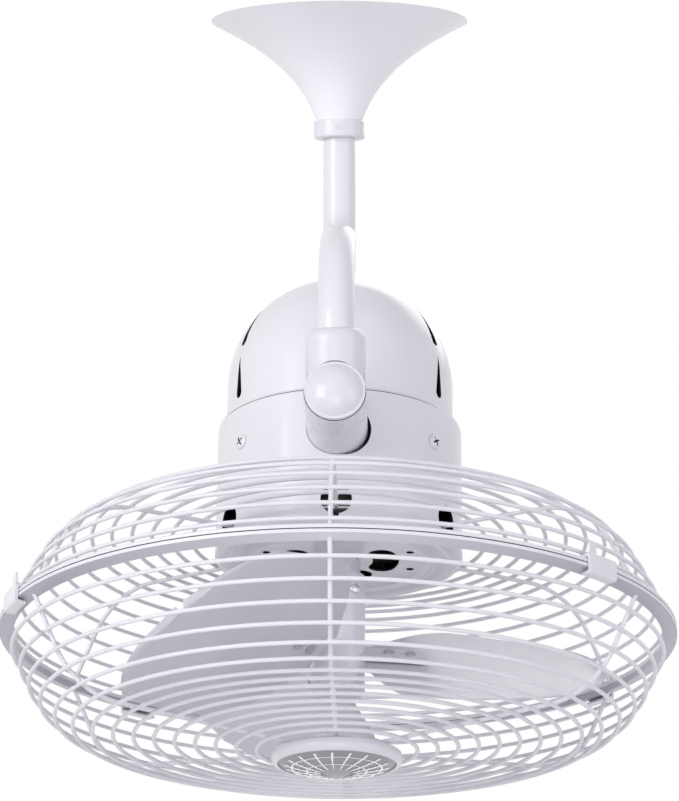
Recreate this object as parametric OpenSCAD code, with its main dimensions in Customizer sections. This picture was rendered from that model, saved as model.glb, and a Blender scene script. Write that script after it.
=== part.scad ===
// Ceiling hung oscillating cage fan. The origin is the centre of the face
// that lies on the ceiling, +Z is up and the clutch knob looks along -Y.

/* [Ceiling mount] */
// Radius of the canopy rim at the ceiling
canopy_r = 84; // [76:1:96]
// Height of the canopy
canopy_h = 65; // [58:1:76]
// Radius of the canopy neck
canopy_neck_r = 15; // [13.5:0.5:16]
// Sheet thickness of the canopy
canopy_wall = 1.2; // [0.8:0.1:1.8]
// Width of the flat canopy rim
canopy_lip = 2; // [1.2:0.1:4]
// Radius of the collar under the canopy
collar_r = 16.7; // [15:0.1:20]
// Height of the collar under the canopy
collar_h = 12; // [9:0.5:16]
// Length of the ceiling plate
plate_l = 104; // [98:1:120]
// Width of the ceiling plate
plate_w = 34; // [28:1:40]
// Sheet thickness of the ceiling bracket
plate_t = 2; // [1.5:0.1:3]
// Distance between the two ceiling screw holes
hole_pitch = 89; // [76:1:90]
// Diameter of a ceiling screw hole
hole_d = 5.2; // [4.2:0.1:7]
// Width of the bracket over its legs
bracket_w = 50; // [46:1:54]
// Height of the bracket below the ceiling
bracket_h = 32; // [30:1:36]
// Radius of the hanger ball
ball_r = 17; // [16:0.5:19]
// Height of the ball centre above its seat
ball_seat = 8; // [6:0.5:10]
// Radius of the cross pin in the hanger ball
cross_pin_r = 2.5; // [2:0.1:3.5]

/* [Downrod] */
// Outer radius of the downrod
rod_r = 10.5; // [9.5:0.1:11.5]
// Wall of the downrod
rod_wall = 2; // [1.2:0.1:2.6]
// Height of the tilt hinge below the ceiling
hinge_drop = 146; // [130:1:200]
// Length of rod below the tilt hinge
rod_tail = 20; // [15:0.5:21]
// Fillet at the closed lower end of the rod
rod_round = 4; // [1:0.5:5]

/* [Tilt hinge and arm] */
// Distance of the tilt hinge in front of the rod axis
hinge_y = 24; // [23:0.5:30]
// Thickness of the rod tongue
tongue_t = 10; // [7:0.5:11]
// Height of the rod tongue
tongue_h = 10; // [8:0.5:11]
// Radius of the tongue's eye
eye_r = 7; // [6:0.1:7.5]
// Radius of the tilt pin
tilt_pin_r = 3; // [2:0.1:3.5]
// Steepest swing of the arm from rest, in degrees
tilt_range = 50; // [30:1:60]
// Outer radius of the arm tube
arm_r = 11.4; // [10.8:0.1:12]
// Wall of the arm tube
arm_wall = 2.5; // [1.5:0.1:3.5]
// Bend radius of the arm
bend_r = 80; // [76:1:90]
// Straight length of arm below the bend
arm_tail = 11.5; // [8:0.5:14]
// Length from the bend's end down to the neck axis
arm_drop = 27.5; // [26:0.5:32]
// Angle of the neck axis above the level
tilt = 21.5; // [18:0.5:24]

/* [Knuckle and knob] */
// Radius of the knuckle boss
boss_r = 19; // [18:0.1:20]
// Length of boss in front of the arm axis
boss_front = 22.2; // [21:0.1:26]
// Radius of the knuckle sleeve
sleeve_r = 18.5; // [16:0.1:18.8]
// Height of the sleeve's top above the arm's lower end
sleeve_h = 29.5; // [24:0.5:34]
// Round on the sleeve's shoulder
sleeve_round = 5; // [1:0.5:6]
// Radius of the neck shaft
neck_r = 6; // [5:0.1:7]
// Radius of the knob skirt
knob_r = 18.7; // [15:0.1:20]
// Height of the knob skirt
knob_skirt = 3; // [2:0.5:5]
// Height of the knob's domed cap
knob_dome = 8.4; // [5:0.1:11]
// Radius of the knob stud
stud_r = 4; // [3:0.1:5]

/* [Motor housing] */
// Outer radius of the motor ring
ring_r = 80; // [79:0.5:84]
// Wall of the motor ring
ring_wall = 1.5; // [1:0.1:1.8]
// Length of the ring behind the neck axis
ring_back = 28; // [27:0.5:32]
// Length of the ring in front of the neck axis
ring_front = 61; // [60:0.5:66]
// Round on the ring's rear shoulder
ring_round = 5; // [3:0.5:5.5]
// Radius of a ring vent
ring_vent_r = 9.8; // [6:0.1:10]
// Radius of the neck opening
neck_hole_r = 21.2; // [20.6:0.1:22]
// Radius of the rear dome
dome_r = 74.5; // [72:0.1:75]
// Wall of the rear dome
dome_wall = 1.6; // [1.2:0.1:2.2]
// Distance of the dome centre behind the neck axis
dome_z = 56; // [54:0.5:57]
// Largest width of a dome slot
slot_w = 3; // [2:0.1:5]
// Radius of a housing screw's shank
screw_r = 1.9; // [1.4:0.1:2.4]
// Radius of a housing screw's head
screw_head_r = 3.6; // [2.8:0.1:4.5]

/* [Motor] */
// Outer radius of the stator
stator_r = 60; // [56:1:61]
// Radius of the stator bore
stator_bore = 40; // [36:0.5:42]
// Length of the stator stack
stator_l = 22; // [16:1:24]
// Air gap between rotor and stator
air_gap = 0.6; // [0.4:0.1:1]
// Radius of the motor shaft
shaft_r = 4; // [3:0.1:5]
// Radius of a motor bolt
bolt_r = 2; // [1.5:0.1:2.5]

/* [Oscillation gearbox] */
// Half width of the gear case
case_x = 28; // [28:0.5:32]
// Wall of the gear case
case_wall = 2; // [1.5:0.1:2.2]
// Module of the pinion and the crank gear
gear_m = 0.68; // [0.66:0.01:0.69]
// Teeth of the pinion
pinion_n = 12; // [12:1:13]
// Teeth of the crank gear
crank_n = 60; // [58:1:60]
// Teeth of the worm wheel
worm_n = 24; // [22:1:24]
// Pitch radius of the worm
worm_r = 5.5; // [5.5:0.1:5.8]
// Pitch radius of the worm wheel
wheel_r = 9.5; // [9:0.1:9.6]
// Radius of the crank throw
throw_r = 9; // [7:0.5:10]
// Length of the oscillation link
link_l = 31; // [30:0.5:32]
// Length of the lever on the neck shaft
lever_l = 12.7; // [12:0.1:13.5]

/* [Guard] */
// Outer radius of the guard rims
guard_r = 215; // [205:1:225]
// Distance of the guard's parting plane in front of the neck axis
guard_h = 116; // [112:0.5:120]
// Diameter of a guard ring wire
wire_d = 2.6; // [2:0.1:3]
// Diameter of a guard rib wire
rib_d = 2.8; // [2.2:0.1:3.4]
// Number of ribs in each guard half
ribs = 6; // [6]
// Spacing of the guard rings along the profile
ring_step = 12.9; // [12:0.1:14]
// Number of rings in the front guard
front_rings = 15; // [12:1:15]
// Number of rings in the rear guard
rear_rings = 12; // [10:1:12]
// Radius of the bend in the guard profile
guard_bend = 56; // [50:1:60]
// Radius of the badge dish
badge_r = 42; // [38:0.5:44]
// Radius of the badge disc
badge_disc_r = 36; // [30:0.5:37]

/* [Fan wheel] */
// Number of blades
blades = 3; // [3]
// Radius of the blade tips
blade_r = 169; // [160:1:172]
// Radius of the hub
hub_r = 17.3; // [15:0.1:19]
// Length of the hub in front of its collar
hub_l = 78; // [74:1:84]
// Sheet thickness of a blade
blade_t = 1.2; // [0.8:0.1:2]
// Pitch of the blade at the root, in degrees
root_pitch = 39; // [36:1:42]
// Pitch of the blade at the tip, in degrees
tip_pitch = 28; // [24:1:32]

/* [Hidden] */

$fn = 64;
fit = 0.05;       // running fit of a shaft, on the radius
slack = 0.3;      // gap round a piece that only has to clear
white = [0.90, 0.90, 0.92];
steel = [0.72, 0.73, 0.75];
dark = [0.20, 0.20, 0.22];

// Places in the fixed frame
ball_z = bracket_h - plate_t - ball_seat;
rod_top = ball_z - 10;
arm_y = hinge_y + bend_r;
neck_z = hinge_drop + bend_r + arm_drop;
head_z = neck_z + arm_y * tan(tilt);
arm_end = hinge_drop + bend_r + arm_tail;
sleeve_top = arm_end - sleeve_h;

// Places along the neck axis, measured from the shaft axis
arm_s = arm_y / cos(tilt);
boss_in = ring_r - 16;
boss_out = arm_s + boss_front;
stud_end = boss_out - 28;
shaft_end = stud_end - 6;
knob_gap = 0.6;
washer_t = 2;
neck_tube_end = boss_in - washer_t - 2 * slack - 0.4;
neck_tube_r = neck_r + 7;
bush_r = neck_r + 3;

// Places along the motor axis, positive to the rear
shield_z = -15.5;
shield_t = 2;
stator_z = -24;
coil_l = 5.3;
plate_z = -ring_front;
face_t = 1.5;
hub_z = -(ring_front + 3);
hub_collar_l = 10;
hub_end = hub_z - hub_collar_l - hub_l;
bolt_ring = stator_r + 4.5;

// Gear train, across the motor axis and along it
worm_lo = 5;
worm_hi = 27;
worm_len = 13;
wheel_x = worm_r + wheel_r;
wheel_z = (worm_lo + worm_hi) / 2;
centre_d = gear_m * (pinion_n + crank_n) / 2;
crank_x = -3.7;
crank_z = wheel_z + sqrt(pow(centre_d, 2) - pow(wheel_x - crank_x, 2));
case_lo = -10;
case_hi = 24.5;
case_top = 56;
gear_s = 9;
gear_t = 5;
link_s = gear_s + gear_t + 0.4;
link_t = 2.2;
lever_s = link_s + link_t + 1.8;
lever_t = 3;
ground_l = norm([crank_x, crank_z]);
ground_a = atan2(crank_x, crank_z);
lever_hi = acos((pow(ground_l, 2) + pow(lever_l, 2) - pow(link_l + throw_r, 2))
    / (2 * ground_l * lever_l));
lever_lo = acos((pow(ground_l, 2) + pow(lever_l, 2) - pow(link_l - throw_r, 2))
    / (2 * ground_l * lever_l));
lever_a = ground_a + (lever_hi + lever_lo) / 2;
lever_p = [lever_l * sin(lever_a), lever_l * cos(lever_a)];
to_lever = lever_p - [crank_x, crank_z];
lever_d = norm(to_lever);
throw_a = atan2(to_lever[0], to_lever[1])
    - acos((pow(throw_r, 2) + pow(lever_d, 2) - pow(link_l, 2)) / (2 * throw_r * lever_d));
throw_p = [crank_x + throw_r * sin(throw_a), crank_z + throw_r * cos(throw_a)];
link_a = atan2(lever_p[0] - throw_p[0], lever_p[1] - throw_p[1]);

// Guard profile: a straight flank, a bend and a nearly flat face
flank_a = 63;
flank_l = 39;
front_face_a = 4;
rear_face_a = 0.5;
rim_wire_r = guard_r - 2;
rib_in = 2.4;
rim_gap = 0.7;
cage_r = 70;
badge_h = guard_h + 72;

function arc(cx, cy, r, a0, a1, n) =
    [for (i = [0 : n]) [cx + r * cos(a0 + (a1 - a0) * i / n), cy + r * sin(a0 + (a1 - a0) * i / n)]];

// Radius and depth of a guard profile that lies d inside the wires, l along it
function bend_c(d) = [rim_wire_r - flank_l * cos(flank_a) - guard_bend * sin(flank_a),
    flank_l * sin(flank_a) - guard_bend * cos(flank_a)];
function bend_l(a) = guard_bend * (flank_a - a) * PI / 180;
function wire_at(l, a) =
    l < flank_l ? [rim_wire_r - l * cos(flank_a), l * sin(flank_a)]
    : l < flank_l + bend_l(a)
    ? bend_c(0) + guard_bend * [sin(flank_a - (l - flank_l) / guard_bend * 180 / PI),
        cos(flank_a - (l - flank_l) / guard_bend * 180 / PI)]
    : bend_c(0) + guard_bend * [sin(a), cos(a)]
        + (l - flank_l - bend_l(a)) * [-cos(a), sin(a)];

// The frame of the fan head: x across, y away from the knob, z to the rear
module head() translate([0, 0, -head_z]) rotate([-tilt, 0, 0]) children();

// The same frame seen from the front, so that +z runs toward the guard's face
module fwd() head() mirror([0, 0, 1]) children();

// Along the neck axis from s toward the knob
module neck(s) translate([0, -s, 0]) rotate([90, 0, 0]) children();

// Outward along +X at an azimuth counted from the knob side
module azimuth(a) rotate([0, 0, a - 90]) children();

// A rod lying along X
module along_x(r, l) rotate([0, 90, 0]) cylinder(r = r, h = l, center = true);

// Ceiling mount

module ceiling_bracket() color(steel) difference() {
    union() {
        translate([-plate_l / 2, -plate_w / 2, -plate_t]) cube([plate_l, plate_w, plate_t]);
        for (x = [-1, 1]) translate([x * (bracket_w - plate_t) / 2 - plate_t / 2, -plate_w / 2, -bracket_h])
            cube([plate_t, plate_w, bracket_h]);
        translate([-bracket_w / 2, -plate_w / 2, -bracket_h]) cube([bracket_w, plate_w, plate_t]);
    }
    for (x = [-1, 1]) translate([x * hole_pitch / 2, 0, -plate_t - 1])
        cylinder(d = hole_d, h = plate_t + 2);
    translate([0, 0, -ball_z]) sphere(r = ball_r + fit);
    translate([-rod_r - 1, 0, -bracket_h - 1]) cube([2 * rod_r + 2, plate_w, plate_t + 2]);
    translate([0, 0, -plate_t - 1]) cylinder(r = 8, h = plate_t + 2);
}

module hanger_ball() color(dark) translate([0, 0, -ball_z]) difference() {
    intersection() {
        sphere(r = ball_r);
        translate([0, 0, -ball_r + 4]) cylinder(r = ball_r + 1, h = 2 * ball_r - 8);
    }
    translate([0, 0, -ball_r]) cylinder(r = rod_r + fit, h = 2 * ball_r);
    along_x(cross_pin_r + fit, 3 * ball_r);
}

module hanger_pin() color(steel) translate([0, 0, -ball_z]) along_x(cross_pin_r, 2 * ball_r - 3);

function canopy_p(t) = [canopy_neck_r + (canopy_r - canopy_neck_r) * (0.35 * t + 0.65 * pow(t, 2.4)),
    -canopy_h * (1 - t)];
function canopy_n(t) = let(d = canopy_p(t + 0.01) - canopy_p(t - 0.01)) [-d[1], d[0]] / norm(d);
canopy_steps = 24;

module canopy() color(white) rotate_extrude($fn = 96) polygon(concat(
    [for (i = [0 : canopy_steps]) canopy_p(i / canopy_steps)],
    [[canopy_r - canopy_lip, 0]],
    [for (i = [canopy_steps - 1 : -1 : 1]) canopy_p(i / canopy_steps) + canopy_wall * canopy_n(i / canopy_steps)],
    [[canopy_neck_r - canopy_wall, -canopy_h]]));

module canopy_collar() color(white) translate([0, 0, -canopy_h]) difference() {
    rotate_extrude() polygon(concat([[rod_r + 0.1, 0]],
        arc(collar_r - 1.5, -1.5, 1.5, 90, 0, 4),
        arc(collar_r - 1.5, -collar_h + 1.5, 1.5, 0, -90, 4), [[rod_r + 0.1, -collar_h]]));
    translate([0, -rod_r + 2, -collar_h / 2]) rotate([90, 0, 0]) cylinder(r = 2 + fit, h = collar_r);
}

module collar_screw() color(steel) translate([0, -rod_r - 0.05, -canopy_h - collar_h / 2])
    rotate([90, 0, 0]) difference() {
        cylinder(r = 2, h = collar_r - rod_r - 0.3);
        translate([0, 0, collar_r - rod_r - 1.6]) cylinder(r = 1, h = 2, $fn = 6);
    }

module downrod() color(white) difference() {
    rotate_extrude() polygon(concat(
        [[rod_r - rod_wall, -rod_top], [rod_r, -rod_top]],
        arc(rod_r - rod_round, -hinge_drop - rod_tail + rod_round, rod_round, 0, -90, 6),
        [[0, -hinge_drop - rod_tail], [0, -hinge_drop - rod_tail + rod_wall]],
        [[rod_r - rod_wall - 2, -hinge_drop - rod_tail + rod_wall]],
        [[rod_r - rod_wall, -hinge_drop - rod_tail + rod_wall + 2]]));
    translate([0, 0, -ball_z]) along_x(cross_pin_r + fit, 3 * rod_r);
    translate([0, 0, -hinge_drop]) along_x(2 + fit, 3 * rod_r);
    translate([-tongue_t / 2 - 0.1, -rod_r - 1, -hinge_drop - tongue_h / 2 - 0.1])
        cube([tongue_t + 0.2, rod_r + 1, tongue_h + 0.2]);
}

module rod_tongue() color(steel) translate([0, 0, -hinge_drop]) difference() {
    union() {
        translate([0, 0, -10]) cylinder(r = rod_r - rod_wall - fit, h = 20);
        translate([-tongue_t / 2, -hinge_y, -tongue_h / 2]) cube([tongue_t, hinge_y, tongue_h]);
        translate([0, -hinge_y, 0]) along_x(eye_r, tongue_t);
    }
    translate([0, -hinge_y, 0]) along_x(tilt_pin_r + fit, tongue_t + 2);
    along_x(2 + fit, 3 * rod_r);
}

module tongue_rivet() color(steel) translate([0, 0, -hinge_drop]) along_x(2, 2 * rod_r + 0.4);

// Arm and knuckle

// A quarter bend of the arm in the YZ plane, from the hinge forward and down
module arm_bend(r, a) translate([0, -hinge_y, -hinge_drop - bend_r]) rotate([0, 0, 90])
    rotate([90, 0, 0]) rotate([0, 0, 180 - a]) rotate_extrude(angle = a, $fn = 96)
    translate([bend_r, 0]) circle(r = r);

module arm() color(white) difference() {
    w = tongue_h / 2 + 0.2;
    c = cos(tilt_range);
    e = sin(tilt_range);
    union() {
        arm_bend(arm_r, 90);
        translate([0, -hinge_y, -hinge_drop]) rotate([0, 90, 0]) sphere(r = arm_r + 0.6, $fn = 128);
        translate([0, -arm_y, -arm_end]) cylinder(r = arm_r, h = arm_tail);
    }
    arm_bend(arm_r - arm_wall, 74);
    translate([0, -arm_y, -arm_end - 1]) cylinder(r = arm_r - arm_wall, h = arm_tail + 1);
    translate([0, -hinge_y, -hinge_drop]) {
        rotate([90, 0, 90]) linear_extrude(height = tongue_t + 0.4, center = true) {
            circle(r = eye_r + slack);
            polygon([[0, -w], [26, -w], [26, 22], [26 * c - w * e, 26 * e + w * c], [-w * e, w * c]]);
        }
        along_x(tilt_pin_r + fit, 3 * arm_r);
        for (x = [-1, 1]) translate([x * (arm_r - 3.9 + 10), 0, 0]) along_x(tilt_pin_r + 2.3, 20);
    }
}

module tilt_pin() color(steel) translate([0, -hinge_y, -hinge_drop]) {
    translate([-1, 0, 0]) along_x(tilt_pin_r, 2 * arm_r - 4);
    translate([arm_r - 2.9, 0, 0]) along_x(tilt_pin_r + 2, 2);
}

module tilt_nut() color(steel) translate([-arm_r + 2.9, -hinge_y, -hinge_drop]) rotate([0, 90, 0])
    difference() {
        cylinder(r = tilt_pin_r + 2, h = 2, center = true, $fn = 6);
        cylinder(r = tilt_pin_r + fit, h = 4, center = true);
    }

module arm_knuckle() color(white) difference() {
    union() {
        head() neck(boss_in) rotate_extrude() polygon(concat([[0, 0]],
            arc(boss_r - 1, 1, 1, -90, 0, 3),
            arc(boss_r - 1, boss_out - boss_in - 1, 1, 0, 90, 3), [[0, boss_out - boss_in]]));
        translate([0, -arm_y, 0]) rotate_extrude() polygon(concat([[0, -neck_z], [sleeve_r, -neck_z]],
            arc(sleeve_r - sleeve_round, -sleeve_top - sleeve_round, sleeve_round, 0, 90, 8),
            [[0, -sleeve_top]]));
    }
    translate([0, -arm_y, -arm_end - 0.5]) cylinder(r = arm_r + 0.1, h = sleeve_h + 10);
    arm_bend(arm_r + 0.3, 90);
    head() {
        neck(boss_in - 1) cylinder(r = neck_r, h = shaft_end - boss_in + 1.2);
        neck(stud_end - 0.4) cylinder(r = stud_r + fit, h = 40);
        neck(boss_out + 0.2) cylinder(r = knob_r + 1.2, h = 30);
    }
    translate([0, -arm_y + arm_r, -sleeve_top - 16]) rotate([-90, 0, 0]) cylinder(r = 2.5 + fit, h = 20);
}

module arm_screw() color(steel) translate([0, -arm_y + arm_r + 0.05, -sleeve_top - 16]) rotate([-90, 0, 0])
    difference() {
        cylinder(r = 2.5, h = sleeve_r - arm_r - 0.3);
        translate([0, 0, sleeve_r - arm_r - 2]) cylinder(r = 1.3, h = 2, $fn = 6);
    }

module neck_shaft() color(steel) head() neck(lever_s - 1) cylinder(r = neck_r - 0.01, h = shaft_end - lever_s + 1);

module osc_lever() color(steel) head() difference() {
    union() {
        neck(lever_s) linear_extrude(height = lever_t) {
            circle(r = neck_r + 2.5);
            translate(lever_p) circle(r = 3.4);
            rotate(90 - lever_a) translate([0, -2.6]) square([lever_l, 5.2]);
        }
        translate([lever_p[0], 0, lever_p[1]]) neck(link_s + link_t + 0.4) cylinder(r = 1.5, h = 2);
    }
    neck(lever_s - 1) cylinder(r = neck_r, h = lever_t + 2);
}

// Knob

dome_cap_r = knob_r - 1.5;
cap_sphere = (pow(dome_cap_r, 2) + pow(knob_dome, 2)) / (2 * knob_dome);

module clutch_knob() color(white) head() neck(boss_out + knob_gap) difference() {
    union() {
        cylinder(r = knob_r, h = knob_skirt, $fn = 96);
        intersection() {
            translate([0, 0, knob_skirt + knob_dome - cap_sphere]) sphere(r = cap_sphere, $fn = 96);
            translate([0, 0, knob_skirt - 0.5]) cylinder(r = dome_cap_r, h = knob_dome + 2);
        }
    }
    translate([0, 0, -1]) cylinder(r = stud_r + 0.01, h = 7);
}

module knob_stud() color(steel) head() neck(stud_end) cylinder(r = stud_r, h = boss_out + knob_gap + 6 - stud_end);

// Motor housing

flange_r = ring_r - ring_wall - slack;
flange_z = ring_back - ring_round - 1;
skirt_end = -8;
screw_az = [50, 130, -130, -50];

// A drop shaped slot, l long, wide end at the bottom
module drop_slot(el, l) translate([0, 0, dome_z]) rotate([0, -el, 0]) translate([dome_r - 8, 0, 0])
    rotate([90, 0, 90]) linear_extrude(height = 16) {
        translate([0, -l / 2 + slot_w / 2]) circle(d = slot_w, $fn = 24);
        polygon([[-slot_w / 2, -l / 2 + slot_w / 2], [slot_w / 2, -l / 2 + slot_w / 2], [0.3, l / 2], [-0.3, l / 2]]);
    }

module rear_housing() color(white) head() difference() {
    rotate_extrude($fn = 96) polygon(concat(
        arc(0, dome_z, dome_r, 90, 0, 24),
        [[dome_r, flange_z], [flange_r, flange_z], [flange_r, skirt_end], [flange_r - dome_wall, skirt_end]],
        [[flange_r - dome_wall, flange_z - dome_wall], [dome_r - dome_wall, flange_z - dome_wall]],
        arc(0, dome_z, dome_r - dome_wall, 0, 90, 24)));
    for (a = [66, 114, -66, -114]) azimuth(a) {
        drop_slot(30.5, dome_r * 25 * PI / 180);
        drop_slot(0, dome_r * 22 * PI / 180);
    }
    translate([1.6, 0, -1.2]) neck(dome_r - 30) cylinder(r = neck_hole_r + 1.2, h = 60);
    for (a = screw_az) azimuth(a) translate([ring_r, 0, 0]) along_x(screw_r + 0.15, 20);
}

module motor_housing() color(white) head() difference() {
    rotate_extrude($fn = 96) polygon(concat([[ring_r, -ring_front]],
        arc(ring_r - ring_round, ring_back - ring_round, ring_round, 0, 90, 8),
        [[dome_r + slack, ring_back], [dome_r + slack, ring_back - ring_wall]],
        arc(ring_r - ring_round, ring_back - ring_round, ring_round - ring_wall, 90, 0, 6),
        [[ring_r - ring_wall, -ring_front]]));
    for (i = [0 : ribs - 1]) azimuth(i * 360 / ribs) {
        translate([ring_r, 0, -ring_front + 2.2 + ring_vent_r]) along_x(ring_vent_r, 20);
        translate([ring_r - 10, -rib_d / 2 - slack, -ring_front - 1]) cube([20, rib_d + 2 * slack, 8]);
    }
    translate([1.6, 0, -1.2]) neck(ring_r - 30) cylinder(r = neck_hole_r, h = 60);
    for (a = screw_az) azimuth(a) translate([ring_r, 0, 0]) along_x(screw_r + 0.15, 20);
}

module housing_screws() color(steel) head() for (a = screw_az) azimuth(a) {
    translate([ring_r - 8, 0, 0]) rotate([0, 90, 0]) cylinder(r = screw_r, h = 8.5);
    translate([ring_r, 0, 0]) rotate([0, 90, 0]) cylinder(r1 = screw_head_r, r2 = screw_head_r - 1.2, h = 2);
}

peg_ring = cage_r + 1.8;
peg_az = [40, 140, -140, -40];
bolt_az = [25, 155, -155, -25];
cage_h = guard_h - guard_bend + rib_in - bend_c(0)[1];
cage_t = 1.5;
bush_wall = 4;

// A kidney shaped vent between radii r0 and r1 that spans an angle a
module kidney(r0, r1, a, h) {
    rotate([0, 0, -a / 2]) rotate_extrude(angle = a) translate([r0, -h / 2]) square([r1 - r0, h]);
    for (s = [-1, 1]) rotate([0, 0, s * a / 2]) translate([(r0 + r1) / 2, 0, -h / 2])
        cylinder(r = (r1 - r0) / 2, h = h);
}

module front_plate() color(white) fwd() difference() {
    union() {
        translate([0, 0, ring_front]) rotate_extrude($fn = 96) polygon([[0, 0], [ring_r, 0],
            [ring_r, 0.7], [ring_r - 1, face_t], [ring_r - 5, face_t], [ring_r - 6, face_t + 1.4],
            [ring_r - 9, face_t + 1.4], [ring_r - 10, face_t], [ring_r - 13, face_t],
            [ring_r - 14, face_t + 1.2], [ring_r - 17, face_t + 1.2], [ring_r - 18, face_t], [0, face_t]]);
        translate([0, 0, ring_front - 3]) rotate_extrude($fn = 96)
            translate([ring_r - ring_wall - 1.6, 0]) square([1.5, 3.5]);
        translate([0, 0, ring_front - 11]) cylinder(r = shaft_r + bush_wall + 2, h = 11.5);
        for (a = bolt_az) azimuth(a) translate([bolt_ring, 0, ring_front - 13])
            cylinder(r = bolt_r + 1.8, h = 13.5);
        for (a = peg_az) azimuth(a) {
            translate([peg_ring, 0, cage_h + cage_t / 2]) cylinder(r = 3, h = ring_front - cage_h);
            translate([peg_ring, 0, cage_h - cage_t / 2]) cylinder(r = 1.5, h = 4);
        }
    }
    for (a = bolt_az) azimuth(a) translate([bolt_ring, 0, ring_front - 14])
        cylinder(r = bolt_r + 0.02, h = 13);
    translate([0, 0, ring_front - 12]) cylinder(r = shaft_r + bush_wall, h = 20);
    for (a = [0, 90, 180, 270]) azimuth(a) translate([0, 0, ring_front]) kidney(22, 39, 50, 6);
    for (a = [70, 110, -70, -110]) azimuth(a) translate([49, 0, ring_front - 1]) cylinder(d = 5, h = 4);
}

// Motor

tab_r = flange_r - dome_wall - 0.1;

module motor_shield() color(steel) head() difference() {
    union() {
        translate([0, 0, shield_z - shield_t]) linear_extrude(height = shield_t) {
            circle(r = stator_r);
            for (a = bolt_az) rotate(a - 90) translate([bolt_ring, 0]) circle(r = bolt_r + 2.5);
            for (a = bolt_az) rotate(a - 90) translate([stator_r - 6, -bolt_r - 2.5])
                square([bolt_ring - stator_r + 6, 2 * bolt_r + 5]);
            for (a = screw_az) rotate(a - 90) translate([stator_r - 6, -6])
                square([tab_r - stator_r + 5, 12]);
        }
        translate([0, 0, stator_z]) cylinder(r = stator_r - 0.2, h = shield_z - stator_z - 1);
        for (a = screw_az) azimuth(a) rotate([0, 0, -3.5]) rotate_extrude(angle = 7, $fn = 96)
            translate([tab_r - 2, shield_z - 1]) square([2, 7 - shield_z]);
    }
    translate([0, 0, stator_z - 1]) rotate_extrude() translate([shaft_r + bush_wall + 2, 0])
        square([stator_r - 3.2 - shaft_r - bush_wall - 2, shield_z - shield_t - stator_z + 1]);
    translate([0, 0, stator_z - 1]) cylinder(r = shaft_r + bush_wall + 3, h = 2);
    translate([0, 0, -60]) cylinder(r = shaft_r + bush_wall, h = 80);
    for (a = bolt_az) azimuth(a) translate([bolt_ring, 0, -60]) cylinder(r = bolt_r + fit, h = 80);
    for (a = screw_az) azimuth(a) translate([ring_r, 0, 0]) along_x(screw_r + 0.02, 30);
}

module ring(r0, r1, z0, z1) translate([0, 0, z0]) difference() {
    cylinder(r = r1, h = z1 - z0);
    translate([0, 0, -1]) cylinder(r = r0, h = z1 - z0 + 2);
}

module stator_core() color(steel) head() ring(stator_bore, stator_r, stator_z - stator_l, stator_z);

module rear_winding() color("peru") head()
    ring(stator_bore + 2, stator_r - 5, stator_z, stator_z + coil_l);

module front_winding() color("peru") head()
    ring(stator_bore + 2, stator_r - 5, stator_z - stator_l - coil_l, stator_z - stator_l);

module rear_bush() color("goldenrod") head()
    ring(shaft_r + fit, shaft_r + bush_wall - 0.01, stator_z + 1, shield_z);

module front_bush() color("goldenrod") fwd()
    ring(shaft_r + fit, shaft_r + bush_wall - 0.01, ring_front - 11, ring_front + face_t);

module motor_bolts() color(steel) head() for (a = bolt_az) azimuth(a) translate([bolt_ring, 0, 0]) {
    translate([0, 0, shield_z]) cylinder(r = bolt_r + 1.6, h = 2.4, $fn = 6);
    translate([0, 0, -ring_front + 3]) cylinder(r = bolt_r, h = shield_z + ring_front - 2.5);
}

module capacitor() color(dark) head() translate([-20, 28, shield_z]) cube([40, 16, 26]);

// Gearbox

module gear_case() color(white) head() difference() {
    union() {
        translate([-case_x, -case_hi, shield_z]) cube([2 * case_x, case_hi - case_lo, case_top - shield_z]);
        neck(case_hi - 1) cylinder(r = neck_tube_r, h = neck_tube_end - case_hi + 1);
    }
    translate([-case_x + case_wall, -case_hi + case_wall, shield_z + case_wall])
        cube([2 * (case_x - case_wall), case_hi - case_lo - 2 * case_wall, 90]);
    neck(case_hi - 4) cylinder(r = bush_r, h = 60);
    translate([0, 0, -20]) cylinder(r = shaft_r + slack, h = 20);
    translate([wheel_x, 0, wheel_z]) neck(case_lo - 1) cylinder(r = 2, h = 8);
    translate([crank_x, 0, crank_z]) neck(case_lo - 1) cylinder(r = 3, h = 8);
}

module gear_cover() color(white) head() {
    translate([-case_x, -case_hi, case_top]) cube([2 * case_x, case_hi - case_lo, case_wall]);
    translate([-case_x + case_wall + 0.1, -case_hi + case_wall + 0.1, case_top - 1.5]) difference() {
        cube([2 * (case_x - case_wall) - 0.2, case_hi - case_lo - 2 * case_wall - 0.2, 2]);
        translate([1.5, 1.5, -1]) cube([2 * (case_x - case_wall) - 3.2, case_hi - case_lo - 2 * case_wall - 3.2, 4]);
    }
}

module neck_bush() color("goldenrod") head() neck(case_hi - case_wall) difference() {
    cylinder(r = bush_r - 0.01, h = neck_tube_end - case_hi + case_wall);
    translate([0, 0, -1]) cylinder(r = neck_r + fit, h = 90);
}

module thrust_washer() color("goldenrod") head() neck(neck_tube_end + slack) difference() {
    cylinder(r = neck_tube_r - 1, h = washer_t);
    translate([0, 0, -1]) cylinder(r = neck_r + 0.2, h = washer_t + 2);
}

module wheel_axle() color(steel) head() translate([wheel_x, 0, wheel_z]) neck(case_lo)
    cylinder(r = 1.99, h = gear_s + gear_t - case_lo);

module crank_axle() color(steel) head() translate([crank_x, 0, crank_z]) neck(case_lo)
    cylinder(r = 2.99, h = gear_s + gear_t - case_lo);

// Outline of a gear: n teeth on pitch radius r, tip and root given from it
function teeth(n, r, up, down, w) = [for (i = [0 : n - 1]) for (k = [[r - down, -1.5 * w],
    [r + up, -0.62 * w], [r + up, 0.62 * w], [r - down, 1.5 * w]])
    let(a = i * 360 / n + k[1] / r * 180 / PI) k[0] * [cos(a), sin(a)]];

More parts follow.
